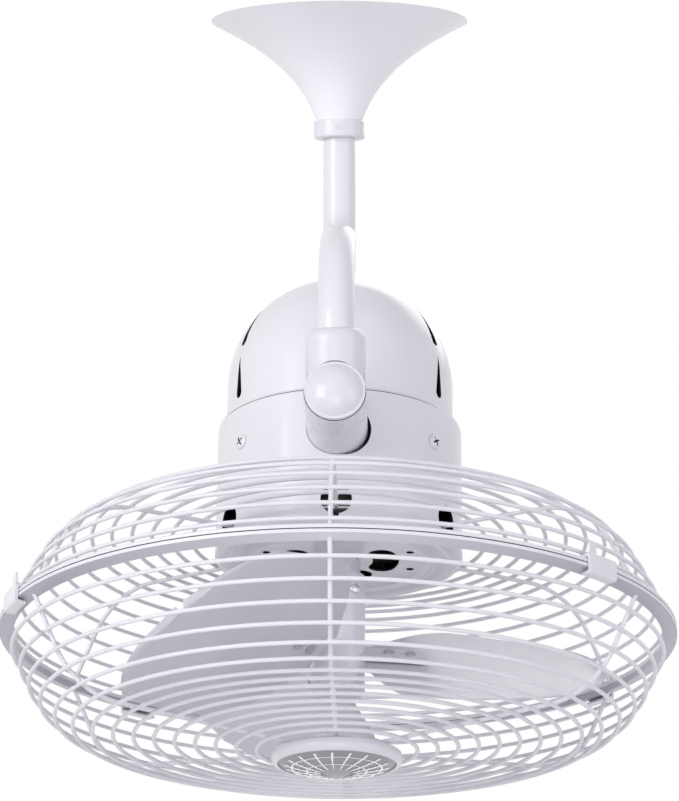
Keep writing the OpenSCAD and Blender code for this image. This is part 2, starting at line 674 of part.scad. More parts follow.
// The worm is a round bar set off centre and turned as it rises
worm_lead = 2 * PI * wheel_r / worm_n;
worm_sides = 14;
worm_rings = round(8 * worm_len / worm_lead);
function worm_pt(i, j) = let(z = i * worm_len / worm_rings, t = 180 - (z - worm_len / 2) / worm_lead * 360, a = j * 360 / worm_sides)
    [0.55 * cos(t) + worm_r * cos(a), 0.55 * sin(t) + worm_r * sin(a), z];

module worm() color(steel) head() {
    translate([0, 0, wheel_z - worm_len / 2]) polyhedron(convexity = 8,
        points = [for (i = [0 : worm_rings]) for (j = [0 : worm_sides - 1]) worm_pt(i, j)],
        faces = concat([[for (j = [0 : worm_sides - 1]) j]],
            [[for (j = [worm_sides - 1 : -1 : 0]) worm_rings * worm_sides + j]],
            [for (i = [0 : worm_rings - 1]) for (j = [0 : worm_sides - 1])
                let(k = (j + 1) % worm_sides, p = i * worm_sides, q = p + worm_sides)
                each [[p + j, q + j, q + k], [p + j, q + k, p + k]]]));
    translate([0, 0, worm_lo - 8]) cylinder(r = 2.48, h = wheel_z - worm_lo - worm_len / 2 + 8.5);
    translate([0, 0, worm_lo]) cylinder(r = shaft_r, h = wheel_z - worm_lo - worm_len / 2 + 0.5);
}

wheel_turn = 0;
module worm_wheel() color("ivory") head() translate([wheel_x, 0, wheel_z]) difference() {
    union() {
        neck(-2) linear_extrude(height = 4) rotate(wheel_turn) polygon(teeth(worm_n, wheel_r, 0.35, 0.8, 0.32));
        neck(case_lo + case_wall + 0.1) cylinder(r = 3.3, h = gear_s - case_lo - case_wall);
        neck(gear_s) linear_extrude(height = gear_t) rotate(pinion_turn)
            polygon(teeth(pinion_n, gear_m * pinion_n / 2, 0.45, 0.75, 0.36));
    }
    neck(case_lo) cylinder(r = 2 + fit, h = 40);
}

mesh_a = atan2(wheel_z - crank_z, wheel_x - crank_x);
pinion_turn = mesh_a + 180;
module crank_gear() color("ivory") head() {
    translate([crank_x, 0, crank_z]) difference() {
        union() {
            neck(gear_s) linear_extrude(height = gear_t)
                rotate(mesh_a + 180 / crank_n) polygon(teeth(crank_n, gear_m * crank_n / 2, 0.45, 0.75, 0.36));
            neck(case_lo + case_wall + 0.1) cylinder(r = 4.6, h = gear_s - case_lo - case_wall);
        }
        neck(case_lo) cylinder(r = 3 + fit, h = 40);
    }
    translate([throw_p[0], 0, throw_p[1]]) neck(gear_s + 1) cylinder(r = 1.5, h = gear_t + link_t - 0.4);
}

module osc_link() color(steel) head() translate([throw_p[0], 0, throw_p[1]]) difference() {
    neck(link_s) linear_extrude(height = link_t) rotate(90 - link_a) {
        circle(r = 3.2);
        translate([link_l, 0]) circle(r = 3.4);
        translate([0, -2]) square([link_l, 4]);
    }
    neck(link_s - 1) cylinder(r = 1.5 + fit, h = link_t + 2);
    neck(link_s - 1) rotate([0, 0, 90 - link_a]) translate([link_l, 0, 0]) cylinder(r = 2, h = link_t + 2);
}

// Guard

// One rib of a guard half in the XZ plane, depth along +z from the parting plane
module rib(fa, r_in) {
    c = bend_c(0);
    rb = guard_bend - rib_in;
    translate([c[0] + rb * sin(flank_a), 0, c[1] + rb * cos(flank_a)]) rotate([0, 90 + flank_a, 0])
        cylinder(d = rib_d, h = flank_l - 4, $fn = 48);
    translate([c[0], 0, c[1]]) rotate([90, 0, 0]) rotate([0, 0, 89.4 - flank_a])
        rotate_extrude(angle = flank_a - fa + 1.2, $fn = 96) translate([rb, 0])
        circle(d = rib_d + 0.06, $fn = 48);
    translate([c[0] + rb * sin(fa), 0, c[1] + rb * cos(fa)]) rotate([0, fa - 90, 0])
        cylinder(d = rib_d, h = (c[0] + rb * sin(fa) - r_in) / cos(fa), $fn = 48);
}

module wire_ring(l, fa) translate([0, 0, wire_at(l, fa)[1]]) rotate_extrude($fn = 96)
    translate([wire_at(l, fa)[0], 0]) circle(d = wire_d, $fn = 48);

module rear_guard() color(white) head() translate([0, 0, -guard_h]) difference() {
    union() {
        for (k = [0 : rear_rings - 1]) wire_ring(9 + ring_step * k, rear_face_a);
        for (i = [0 : ribs - 1]) azimuth(i * 360 / ribs) rib(rear_face_a, cage_r);
        rotate_extrude($fn = 96) polygon([[guard_r - 8, rim_gap / 2], [guard_r, rim_gap / 2],
            [guard_r, 2.2], [guard_r - 0.8, 3], [guard_r - 8, 3]]);
        ring(cage_r - 1.3, cage_r + 6, guard_h - cage_h - cage_t / 2, guard_h - cage_h + cage_t / 2);
    }
    for (a = peg_az) azimuth(a) translate([peg_ring, 0, 0]) cylinder(r = 1.55, h = guard_h);
}

module front_guard() color(white) fwd() translate([0, 0, guard_h]) {
    for (k = [0 : front_rings - 1]) wire_ring(15 + ring_step * k, front_face_a);
    for (i = [0 : ribs - 1]) azimuth(i * 360 / ribs) rib(front_face_a, 24);
    rotate_extrude($fn = 96) polygon([[guard_r - 9, rim_gap / 2], [guard_r, rim_gap / 2],
        [guard_r, 2.4], [guard_r - 9, 4.5]]);
    ring(18, 34, badge_h - guard_h - 1.5, badge_h - guard_h + 1);
}

module rim_gasket() color(dark) fwd() ring(guard_r - 7.5, guard_r - 1.5, guard_h - rim_gap / 2, guard_h + rim_gap / 2);

// A snap clip over both rims, w wide, with a thumb ear
module clip(a, w) color(white) fwd() azimuth(a) {
    span = w / guard_r * 180 / PI;
    rotate([0, 0, -span / 2]) rotate_extrude(angle = span, $fn = 96) translate([guard_r, guard_h]) polygon([
        [-7, -5.2], [0.2, -5.2], [0.2, -14], [1.4, -15], [2.4, -14], [2.4, 5.4], [1, 6.8], [-7, 6.8],
        [-7, 5.0], [0.2, 3.0], [0.2, -3.2], [-7, -3.2]]);
}

module guard_clip_1() clip(-66, 22);
module guard_clip_2() clip(47, 22);
module guard_clip_3() clip(125, 22);
module guard_clip_4() clip(-138, 22);

module badge_cap() color(white) fwd() translate([0, 0, badge_h + 1]) rotate_extrude($fn = 96) polygon(concat(
    [[0, 0], [badge_r - 2, 0]], arc(badge_r - 2, 2, 2, -90, 0, 4), arc(badge_r - 1.2, 3.8, 1.2, 0, 90, 4),
    [[badge_disc_r + 2, 5], [badge_disc_r + slack, 3.2], [badge_disc_r + slack, 2.4], [0, 2.4]]));

module badge_disc() color(steel) fwd() translate([0, 0, badge_h + 3.4]) cylinder(r = badge_disc_r, h = 1, $fn = 96);

// Fan wheel

module rotor_core() color(steel) head()
    ring(shaft_r + 0.01, stator_bore - air_gap, stator_z - stator_l, stator_z);

module motor_shaft() color(steel) head() difference() {
    translate([0, 0, hub_end + 4]) cylinder(r = shaft_r, h = worm_lo - hub_end - 4);
    translate([0, 0, worm_lo - 8.5]) cylinder(r = 2.5, h = 20);
}

// A place on a blade near its root: x outward from the middle of its arm, y across the chord, z to the front
arm_mid = 39;
rivet_x = [-7, 7];
module on_blade(x) translate([arm_mid, 0.45, 130]) rotate([-root_pitch + 2.7, 0, 0]) rotate([0, -5.3, 0])
    translate([x, 0, 0]) children();

module fan_hub() color(white) fwd() difference() {
    union() {
        translate([0, 0, -hub_z]) rotate_extrude() polygon(concat([[0, 0], [hub_r - 3.3, 0], [hub_r - 3.3, hub_collar_l],
            [hub_r, hub_collar_l]], arc(hub_r - 2, hub_collar_l + hub_l - 2, 2, 0, 90, 5), [[0, hub_collar_l + hub_l]]));
        for (a = blade_az) azimuth(a) on_blade(0) translate([0, 0, -4.9]) linear_extrude(height = 3) {
            translate([-27, -8]) square([38, 16]);
            translate([11, 0]) circle(r = 8);
        }
    }
    translate([0, 0, -hub_z - 1]) cylinder(r = shaft_r + 0.01, h = -hub_end + hub_z - 2.6);
    translate([0, 0, -hub_z + hub_collar_l / 2]) rotate([-90, 0, 0]) cylinder(r = 2.05, h = 30);
    for (a = blade_az) azimuth(a) for (x = rivet_x) on_blade(x) cylinder(r = 2.02, h = 12, center = true);
}

module hub_screw() color(steel) fwd() translate([0, shaft_r + 0.05, -hub_z + hub_collar_l / 2])
    rotate([-90, 0, 0]) cylinder(r = 2, h = hub_r - 3.3 - shaft_r - 0.4);

// A pressed blade: u runs from root to tip, v across the chord, -1 at the edge nearest the front
blade_root = hub_r + 0.25;
blade_az = [88, 208, 328];
blade_h = 128;
blade_dish = 10;
function bow(u, a, b, c) = a * (1 - u) * (1 - 2 * u) + b * 4 * u * (1 - u) + c * u * (2 * u - 1);
function tip_round(u) = sqrt(max(0.0025, 1 - pow(max(0, (u - 0.77) / 0.23), 4.5)));
function chord_at(u, v) = v * tip_round(u) * (v < 0
    ? bow(u, 50, 76, 68) * (0.3 + 0.7 * sin(90 * min(1, u / 0.2)))
    : bow(u, 58, 65, 57) * (0.25 + 0.75 * sin(90 * min(1, u / 0.4))));
function pitch_at(u) = root_pitch + (tip_pitch - root_pitch) * pow(u, 0.72);
function blade_p(u, v, side) =
    let(w = chord_at(u, v), p = pitch_at(u), camber = 5 * (1 - v * v) * u)
    let(t = w * cos(p) + camber * sin(p), z = w * sin(p) - camber * cos(p))
    let(r = blade_root + (blade_r - blade_root) * u)
    [sqrt(max(1, r * r - pow(t * u, 2))), t, blade_h + blade_dish * u - z + side * blade_t / 2];
nu = 16;
nv = 12;
module blade(a) color(white) fwd() azimuth(a) difference() {
    pts = concat(
        [for (i = [0 : nu]) for (j = [0 : nv]) blade_p(i / nu, 2 * j / nv - 1, -1)],
        [for (i = [0 : nu]) for (j = [0 : nv]) blade_p(i / nu, 2 * j / nv - 1, 1)]);
    m = nv + 1;
    n = (nu + 1) * m;
    faces = concat(
        [for (i = [0 : nu - 1]) for (j = [0 : nv - 1]) each [[i * m + j, i * m + j + 1, (i + 1) * m + j + 1],
            [i * m + j, (i + 1) * m + j + 1, (i + 1) * m + j]]],
        [for (i = [0 : nu - 1]) for (j = [0 : nv - 1]) each [[n + i * m + j, n + (i + 1) * m + j + 1, n + i * m + j + 1],
            [n + i * m + j, n + (i + 1) * m + j, n + (i + 1) * m + j + 1]]],
        [for (i = [0 : nu - 1]) each [[i * m, (i + 1) * m, n + (i + 1) * m], [i * m, n + (i + 1) * m, n + i * m]]],
        [for (i = [0 : nu - 1]) each [[i * m + nv, n + (i + 1) * m + nv, (i + 1) * m + nv],
            [i * m + nv, n + i * m + nv, n + (i + 1) * m + nv]]],
        [for (j = [0 : nv - 1]) each [[j, n + j + 1, j + 1], [j, n + j, n + j + 1]]],
        [for (j = [0 : nv - 1]) each [[nu * m + j, nu * m + j + 1, n + nu * m + j + 1],
            [nu * m + j, n + nu * m + j + 1, n + nu * m + j]]]);
    polyhedron(points = pts, faces = faces, convexity = 6);
    for (x = rivet_x) on_blade(x) cylinder(r = 2.02, h = 12, center = true);
}

module blade_1() blade(blade_az[0]);
module blade_2() blade(blade_az[1]);
module blade_3() blade(blade_az[2]);

module blade_rivets() color(steel) fwd() for (a = blade_az) azimuth(a) for (x = rivet_x) on_blade(x) {
    translate([0, 0, -5.1]) cylinder(r = 2, h = 6.5);
    translate([0, 0, -6.2]) cylinder(r = 3.2, h = 1.2);
    translate([0, 0, -1.8]) cylinder(r = 3.6, h = 1);
    translate([0, 0, 0.75]) cylinder(r = 3.6, h = 1.1);
}

ceiling_bracket();
hanger_ball();
hanger_pin();
canopy();
canopy_collar();
collar_screw();
downrod();
rod_tongue();
tongue_rivet();
arm();
arm_knuckle();
tilt_pin();
tilt_nut();
arm_screw();
neck_shaft();
osc_lever();
clutch_knob();
knob_stud();
rear_housing();
motor_housing();
front_plate();
housing_screws();
motor_shield();
stator_core();
rear_winding();
front_winding();
rear_bush();
front_bush();
motor_bolts();
capacitor();
gear_case();
gear_cover();
neck_bush();
thrust_washer();
wheel_axle();
crank_axle();
rear_guard();
front_guard();
rim_gasket();
guard_clip_1();
guard_clip_2();
guard_clip_3();
guard_clip_4();
badge_cap();
badge_disc();
rotor_core();
motor_shaft();
worm();
fan_hub();
hub_screw();
blade_1();
blade_2();
blade_3();
blade_rivets();
worm_wheel();
crank_gear();
osc_link();
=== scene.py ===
import bpy
import bmesh
import math
from mathutils import Vector, Matrix


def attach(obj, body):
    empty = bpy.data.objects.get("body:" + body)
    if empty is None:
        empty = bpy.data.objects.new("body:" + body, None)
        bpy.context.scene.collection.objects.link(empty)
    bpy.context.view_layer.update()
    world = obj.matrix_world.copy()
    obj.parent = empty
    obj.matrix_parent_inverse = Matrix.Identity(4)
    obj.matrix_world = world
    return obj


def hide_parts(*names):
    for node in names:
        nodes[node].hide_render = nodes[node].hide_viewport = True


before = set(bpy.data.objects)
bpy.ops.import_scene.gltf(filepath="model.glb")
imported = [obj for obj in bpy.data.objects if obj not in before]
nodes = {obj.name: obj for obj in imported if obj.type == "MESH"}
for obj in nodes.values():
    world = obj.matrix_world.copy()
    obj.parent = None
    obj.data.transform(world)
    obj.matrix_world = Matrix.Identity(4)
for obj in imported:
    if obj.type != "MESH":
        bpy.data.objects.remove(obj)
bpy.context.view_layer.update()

# The head's own frame: its origin is where the motor axis meets the neck axis, Z points to the dome
TILT = math.radians(21.5)
HEAD_Z = -0.2944667
HEAD = Matrix.Translation((0, 0, HEAD_Z)) @ Matrix.Rotation(-TILT, 4, "X")

# Materials
def link(tree, source, output, target, socket):
    tree.links.new(source.outputs[output], target.inputs[socket])


def coat(name, color, rough, metallic=0.0, spec=0.5, coat_w=0.0, peel=0.0, peel_scale=900.0,
         shade=0.03, shade_scale=14.0, rough_var=0.06):
    """A painted, moulded or metal surface with faint colour drift, uneven gloss and a fine skin."""
    m = bpy.data.materials.new(name)
    m.use_nodes = True
    nt = m.node_tree
    bsdf = nt.nodes["Principled BSDF"]
    bsdf.inputs["Metallic"].default_value = metallic
    bsdf.inputs["Specular IOR Level"].default_value = spec
    bsdf.inputs["Coat Weight"].default_value = coat_w
    bsdf.inputs["Coat Roughness"].default_value = 0.08
    tex = nt.nodes.new("ShaderNodeTexCoord")
    big = nt.nodes.new("ShaderNodeTexNoise")
    big.inputs["Scale"].default_value = shade_scale
    big.inputs["Detail"].default_value = 3.0
    link(nt, tex, "Object", big, "Vector")
    ramp = nt.nodes.new("ShaderNodeValToRGB")
    ramp.color_ramp.elements[0].position = 0.3
    ramp.color_ramp.elements[1].position = 0.7
    ramp.color_ramp.elements[0].color = [c * (1 - shade) for c in color] + [1]
    ramp.color_ramp.elements[1].color = list(color) + [1]
    link(nt, big, "Fac", ramp, "Fac")
    link(nt, ramp, "Color", bsdf, "Base Color")
    fine = nt.nodes.new("ShaderNodeTexNoise")
    fine.inputs["Scale"].default_value = 60.0
    fine.inputs["Detail"].default_value = 4.0
    link(nt, tex, "Object", fine, "Vector")
    rng = nt.nodes.new("ShaderNodeMapRange")
    rng.inputs["To Min"].default_value = max(0.02, rough - rough_var)
    rng.inputs["To Max"].default_value = min(1.0, rough + rough_var)
    link(nt, fine, "Fac", rng, "Value")
    link(nt, rng, "Result", bsdf, "Roughness")
    if peel > 0:
        skin = nt.nodes.new("ShaderNodeTexNoise")
        skin.inputs["Scale"].default_value = peel_scale
        skin.inputs["Detail"].default_value = 2.0
        link(nt, tex, "Object", skin, "Vector")
        bump = nt.nodes.new("ShaderNodeBump")
        bump.inputs["Strength"].default_value = peel
        bump.inputs["Distance"].default_value = 0.0002
        link(nt, skin, "Fac", bump, "Height")
        link(nt, bump, "Normal", bsdf, "Normal")
    return m


EVEN = (1.0, 1.0, 1.0)
DRAWN = (1.0, 1.0, 60.0)


def brushed(name, color, rough, metallic=1.0, axis_scale=DRAWN, strength=0.15):
    """Metal with fine drawn lines along one direction, or an even grain."""
    m = coat(name, color, rough, metallic=metallic, shade=0.06, shade_scale=40.0)
    nt = m.node_tree
    bsdf = nt.nodes["Principled BSDF"]
    tex = nt.nodes.new("ShaderNodeTexCoord")
    mp = nt.nodes.new("ShaderNodeMapping")
    mp.inputs["Scale"].default_value = axis_scale
    lines = nt.nodes.new("ShaderNodeTexNoise")
    lines.inputs["Scale"].default_value = 120.0
    lines.inputs["Detail"].default_value = 6.0
    bump = nt.nodes.new("ShaderNodeBump")
    bump.inputs["Strength"].default_value = strength
    bump.inputs["Distance"].default_value = 0.0002
    link(nt, tex, "Object", mp, "Vector")
    link(nt, mp, "Vector", lines, "Vector")
    link(nt, lines, "Fac", bump, "Height")
    link(nt, bump, "Normal", bsdf, "Normal")
    return m


def paint_shade_at_sides(m, dark, near, far):
    """Paints shade into a paint: it runs to a darker tone between two distances in metres from the middle,
    left and right.
    """
    nt = m.node_tree
    bsdf = nt.nodes["Principled BSDF"]
    plain = bsdf.inputs["Base Color"].links[0].from_node
    tex = nt.nodes.new("ShaderNodeTexCoord")
    axes = nt.nodes.new("ShaderNodeSeparateXYZ")
    away = nt.nodes.new("ShaderNodeMath")
    away.operation = "ABSOLUTE"
    share = nt.nodes.new("ShaderNodeMapRange")
    share.inputs["From Min"].default_value = near
    share.inputs["From Max"].default_value = far
    blend = nt.nodes.new("ShaderNodeMixRGB")
    blend.inputs["Color2"].default_value = list(dark) + [1]
    link(nt, tex, "Object", axes, "Vector")
    link(nt, axes, "X", away, 0)
    link(nt, away, "Value", share, "Value")
    link(nt, share, "Result", blend, "Fac")
    link(nt, plain, "Color", blend, "Color1")
    link(nt, blend, "Color", bsdf, "Base Color")


enamel = coat("enamel_white", (0.82, 0.82, 0.86), 0.24, spec=0.35, coat_w=0.12, peel=0.05)
wire_paint = coat("wire_white", (0.82, 0.82, 0.86), 0.32, spec=0.35, coat_w=0.06, peel=0.08,
                  peel_scale=1500)
cast = coat("cast_white", (0.78, 0.78, 0.82), 0.28, spec=0.35, coat_w=0.1, peel=0.10, peel_scale=700)
plastic = coat("plastic_white", (0.82, 0.82, 0.86), 0.2, spec=0.4, coat_w=0.12, peel=0.03)
# painted shade: the blades' white paint, darker than the white enamel, for the shade they lie in
blade_shaded_paint = coat("blade_white", (0.68, 0.68, 0.73), 0.3, spec=0.3, coat_w=0.05, peel=0.04)
knob_paint = coat("knob_white", (0.78, 0.78, 0.82), 0.2, spec=0.35, coat_w=0.1, peel=0.02)
canopy_paint = coat("canopy_white", (0.94, 0.94, 0.98), 0.26, spec=0.35, coat_w=0.12, shade=0.01,
                    rough_var=0.02)
# painted shade for the band of the lower rim: darker than the wire paint, and darker again towards the sides
rim_painted_shade = coat("rim_white_painted_shade", (0.78, 0.78, 0.82), 0.32, spec=0.35, coat_w=0.06, peel=0.08,
                 peel_scale=1500)
paint_shade_at_sides(rim_painted_shade, (0.50, 0.50, 0.56), 0.0, 0.16)
steel = brushed("steel", (0.62, 0.63, 0.65), 0.28)
dark_steel = brushed("dark_steel", (0.25, 0.25, 0.27), 0.45)
copper = brushed("copper_wire", (0.72, 0.38, 0.20), 0.35)
bronze = brushed("bronze", (0.66, 0.48, 0.24), 0.35)
nylon = coat("gear_nylon", (0.86, 0.84, 0.76), 0.45, peel=0.1)
rubber = coat("black_rubber", (0.03, 0.03, 0.035), 0.6, peel=0.3, spec=0.3)
badge_metal = brushed("badge_metal", (0.30, 0.30, 0.33), 0.30, axis_scale=EVEN, strength=0.05)
# painted shade: near black for the insides of the shells, the walls of their holes, the pegs behind the face
# plate and the screw recesses, in place of the shade in them
painted_shade_black = coat("inside_painted_shade", (0.012, 0.012, 0.014), 0.7, spec=0.2)
# near black on the windings: partly dark varnish, partly painted shade for the dark inside of the motor
varnish_and_shade = brushed("coil_varnish_painted_shade", (0.09, 0.07, 0.07), 0.30, metallic=0.0, axis_scale=EVEN, strength=0.5)
# painted highlight: bright metal for the ridges of the badge, standing in for the glints on them
badge_painted_highlight = brushed("badge_painted_highlight", (0.92, 0.92, 0.93), 0.14, axis_scale=EVEN, strength=0.03)
screw_white = coat("screw_white", (0.80, 0.80, 0.82), 0.2, coat_w=0.3)
steel_light = brushed("steel_light", (0.80, 0.80, 0.82), 0.3, metallic=0.6)

looks = {
    canopy_paint: ["canopy"],
    enamel: ["downrod", "arm", "motor_housing", "front_plate", "rear_housing"],
    wire_paint: ["rear_guard", "front_guard"],
    cast: ["arm_knuckle", "canopy_collar", "fan_hub"],
    plastic: ["guard_clip_1", "guard_clip_2", "guard_clip_3", "guard_clip_4", "badge_cap",
              "gear_case", "gear_cover"],
    blade_shaded_paint: ["blade_1", "blade_2", "blade_3"],
    knob_paint: ["clutch_knob"],
    steel: ["ceiling_bracket", "hanger_pin", "collar_screw", "rod_tongue", "tongue_rivet", "tilt_pin",
            "tilt_nut", "arm_screw", "neck_shaft", "osc_lever", "knob_stud", "housing_screws",
            "motor_shield", "motor_bolts", "wheel_axle", "crank_axle", "motor_shaft", "worm",
            "hub_screw", "blade_rivets", "osc_link"],
    dark_steel: ["stator_core", "rotor_core"],
    copper: ["rear_winding", "front_winding"],
    bronze: ["rear_bush", "front_bush", "neck_bush", "thrust_washer"],
    nylon: ["worm_wheel", "crank_gear"],
    rubber: ["hanger_ball", "rim_gasket", "capacitor"],
    badge_metal: ["badge_disc"],
}
for mat, names in looks.items():
    for n in names:
        if n in nodes:
            o = nodes[n]
            if not o.material_slots:
                o.data.materials.append(mat)
            for s in o.material_slots:
                s.material = mat

# Sizes of the pieces, in mm and degrees. Azimuths start at the knob side
MM = 0.001
RING_R = 80.0
RING_FRONT = 61.0
RING_BACK = 28.0
DOME_R = 74.5
DOME_Z = 56.0
GUARD_R = 215.0
GUARD_H = 116.0
BADGE_H = 188.0
ARM_Y = 104.0
BOSS_IN = 64.0
BOSS_OUT = 133.98
RIB_AZ = (0, 60, 120, 180, 240, 300)


def neck_frame(s):
    """A frame on the neck axis, s mm towards the knob, with Z along that axis."""
    return HEAD @ Matrix.Translation((0, -s * MM, 0)) @ Matrix.Rotation(math.pi / 2, 4, "X")


def front_frame(h):
    """A frame on the motor axis, h mm towards the badge, with Z towards the badge and X as in the head."""
    return HEAD @ Matrix.Translation((0, 0, -h * MM)) @ Matrix.Rotation(math.pi, 4, "X")


def side_frame(azimuth, radius, height):
    """A frame on the head's side: Z points outward, X towards the badge."""
    turn = Matrix.Rotation(math.radians(azimuth) - math.pi / 2, 4, "Z")
    out = Matrix.Translation((radius * MM, 0, -height * MM))
    return HEAD @ turn @ out @ Matrix.Rotation(math.pi / 2, 4, "Y")


def new_object(name, bm, place, mats, angle=35):
    """Makes an object of a bmesh in mm: its mesh is in metres in the shared frame."""
    bmesh.ops.remove_doubles(bm, verts=bm.verts, dist=1e-4)
    bmesh.ops.recalc_face_normals(bm, faces=bm.faces)
    bmesh.ops.transform(bm, matrix=place @ Matrix.Scale(MM, 4), verts=bm.verts)
    me = bpy.data.meshes.new(name)
    bm.to_mesh(me)
    bm.free()
    for m in mats:
        me.materials.append(m)
    me.shade_smooth()
    me.set_sharp_from_angle(angle=math.radians(angle))
    o = bpy.data.objects.new(name, me)
    bpy.context.scene.collection.objects.link(o)
    return o


def keep(o, body, slot_name, *replaced):
    """Puts a piece on a body, and hides the nodes that it takes the place of; slot_name is not used."""
    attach(o, body)
    if replaced:
        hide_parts(*replaced)


def revolve(bm, profile, steps=128, closed=False, shape=None):
    """Turns a profile of (radius, height) points round Z. shape may move each point."""
    rows = []
    for r, z in profile:
        if r < 1e-6:
            rows.append([bm.verts.new((0, 0, z))] * steps)
            continue
        row = []
        for i in range(steps):
            t = 2 * math.pi * i / steps
            p = (r, z) if shape is None else shape(r, z, t)
            row.append(bm.verts.new((p[0] * math.cos(t), p[0] * math.sin(t), p[1])))
        rows.append(row)
    n = len(rows)
    for k in range(n if closed else n - 1):
        a = rows[k]
        b = rows[(k + 1) % n]
        for i in range(steps):
            j = (i + 1) % steps
            corners = []
            for v in (a[i], a[j], b[j], b[i]):
                if v not in corners:
                    corners.append(v)
            if len(corners) > 2:
                bm.faces.new(corners)


def arc(cx, cy, r, a0, a1, n):
    """n + 1 points of an arc between two angles in degrees."""
    turn = [math.radians(a0 + (a1 - a0) * i / n) for i in range(n + 1)]
    return [(cx + r * math.cos(a), cy + r * math.sin(a)) for a in turn]


def circle(r, n=48, cx=0.0, cy=0.0):
    return arc(cx, cy, r, 0, 360 - 360 / n, n - 1)


def prism(bm, outline, z0, z1):
    """A closed prism of an outline in XY between two heights."""
    low = [bm.verts.new((x, y, z0)) for x, y in outline]
    high = [bm.verts.new((x, y, z1)) for x, y in outline]
    bm.faces.new(list(reversed(low)))
    bm.faces.new(high)
    n = len(outline)
    for i in range(n):
        j = (i + 1) % n
        bm.faces.new((low[i], low[j], high[j], high[i]))


def cutter(outline, z0, z1, place):
    """A prism that combine() uses up."""
    bm = bmesh.new()
    prism(bm, outline, z0, z1)
    return new_object("cutter", bm, place, [])


def combine(target, others, operation):
    """Cuts closed meshes out of a piece, or joins them to it, and removes them."""
    for c in others:
        mod = target.modifiers.new("combine", "BOOLEAN")
        mod.operation = operation
        mod.solver = "EXACT"
        mod.object = c
    deps = bpy.context.evaluated_depsgraph_get()
    me = bpy.data.meshes.new_from_object(target.evaluated_get(deps), depsgraph=deps)
    target.modifiers.clear()
    old = target.data
    target.data = me
    bpy.data.meshes.remove(old)
    for c in others:
        data = c.data
        bpy.data.objects.remove(c)
        bpy.data.meshes.remove(data)


def smooth(o, angle):
    o.data.shade_smooth()
    o.data.set_sharp_from_angle(angle=math.radians(angle))


def mark_faces(o, place, test):
    """Gives the faces whose centre passes the test, in the place's own mm, the second material."""
    back = place.inverted()
    for p in o.data.polygons:
        c = (back @ p.center) / MM
        if test(c):
            p.material_index = 1


def second_material(o, place, test, angle=30):
    """Marks faces of a cut piece and smooths it again."""
    mark_faces(o, place, test)
    smooth(o, angle)


def across(c):
    """Distance of a point from the Z axis."""
    return math.hypot(c.x, c.y)


NECK_R = 19.6
CRESCENT_R = 17.6


def neck_cutters(wider):
    """The neck opening is tight round the boss and runs out into a crescent on one side."""
    return [cutter(circle(NECK_R + wider, 96), 40, 110, neck_frame(0)),
            cutter(circle(CRESCENT_R + wider, 96, 4.0, -2.0), 40, 110, neck_frame(0))]


def slot_cutter(azimuth, elevation, wide, low, high):
    """A slot that is wide and round at its lower end and runs to a point at the top."""
    start = low + wide / 2
    steps = [i / 12 for i in range(13)]
    edge = [(start + (high - start) * t, wide / 2 * (1 - t) ** 0.8 + 0.12) for t in steps]
    outline = edge + [(x, -y) for x, y in reversed(edge)]
    outline += arc(start, 0, wide / 2 + 0.12, 270, 90, 12)[1:-1]
    place = (HEAD @ Matrix.Rotation(math.radians(azimuth) - math.pi / 2, 4, "Z")
             @ Matrix.Translation((0, 0, DOME_Z * MM)) @ Matrix.Rotation(-math.radians(elevation), 4, "Y")
             @ Matrix.Translation((DOME_R * MM, 0, 0)) @ Matrix.Rotation(-math.pi / 2, 4, "Y")
             @ Matrix.Rotation(math.pi, 4, "X"))
    return cutter(outline, -9, 9, place)


# Rear dome: a pressed shell with two pairs of drop shaped slots on each side, and a flange inside the ring
SLOT_AZ = 60.5
# Elevation on the dome, width, and how far a slot reaches down and up from there
LOWER_SLOT = (0.0, 6.4, -19.5, 9.1)
UPPER_SLOT = (26.7, 5.8, -16.5, 16.5)
SHEET = 1.6
FLANGE_R = 78.2
dome_in = DOME_R - SHEET
flange_in = FLANGE_R - SHEET

bm = bmesh.new()
revolve(bm, arc(0, DOME_Z, DOME_R, 0, 90, 40)[:-1] + [(0, DOME_Z + DOME_R), (0, DOME_Z + dome_in)]
        + arc(0, DOME_Z, dome_in, 90, 0, 40)[1:]
        + [(dome_in, 20.4), (flange_in, 20.4), (flange_in, -8), (FLANGE_R, -8), (FLANGE_R, 22), (DOME_R, 22)],
        160, True)
dome = new_object("dome_shell", bm, HEAD, [enamel, painted_shade_black])
slots = []
for side in (1, -1):
    for az in (SLOT_AZ, 180 - SLOT_AZ):
        slots.append(slot_cutter(side * az, *LOWER_SLOT))
        slots.append(slot_cutter(side * az, *UPPER_SLOT))
combine(dome, slots + neck_cutters(1.2), "DIFFERENCE")
# The inside of the dome and the walls of its slots and neck opening get the near-black painted shade
second_material(dome, HEAD, lambda c: math.hypot(c.x, c.y, max(0, c.z - DOME_Z)) < DOME_R - 0.3)
keep(dome, "head", "white_enamel", "rear_housing")

# Motor ring: a drawn drum with a rolled shoulder, round vents and the neck opening
SHOULDER_R = 5.0
DRUM_WALL = 1.5
DRUM_LIP_R = 74.56
VENT_R = 9.8
VENT_SLIT = [(-4.7, -1.7), (5, -1.7), (5, 1.7), (-4.7, 1.7)]
shoulder = (RING_R - SHOULDER_R, RING_BACK - SHOULDER_R)

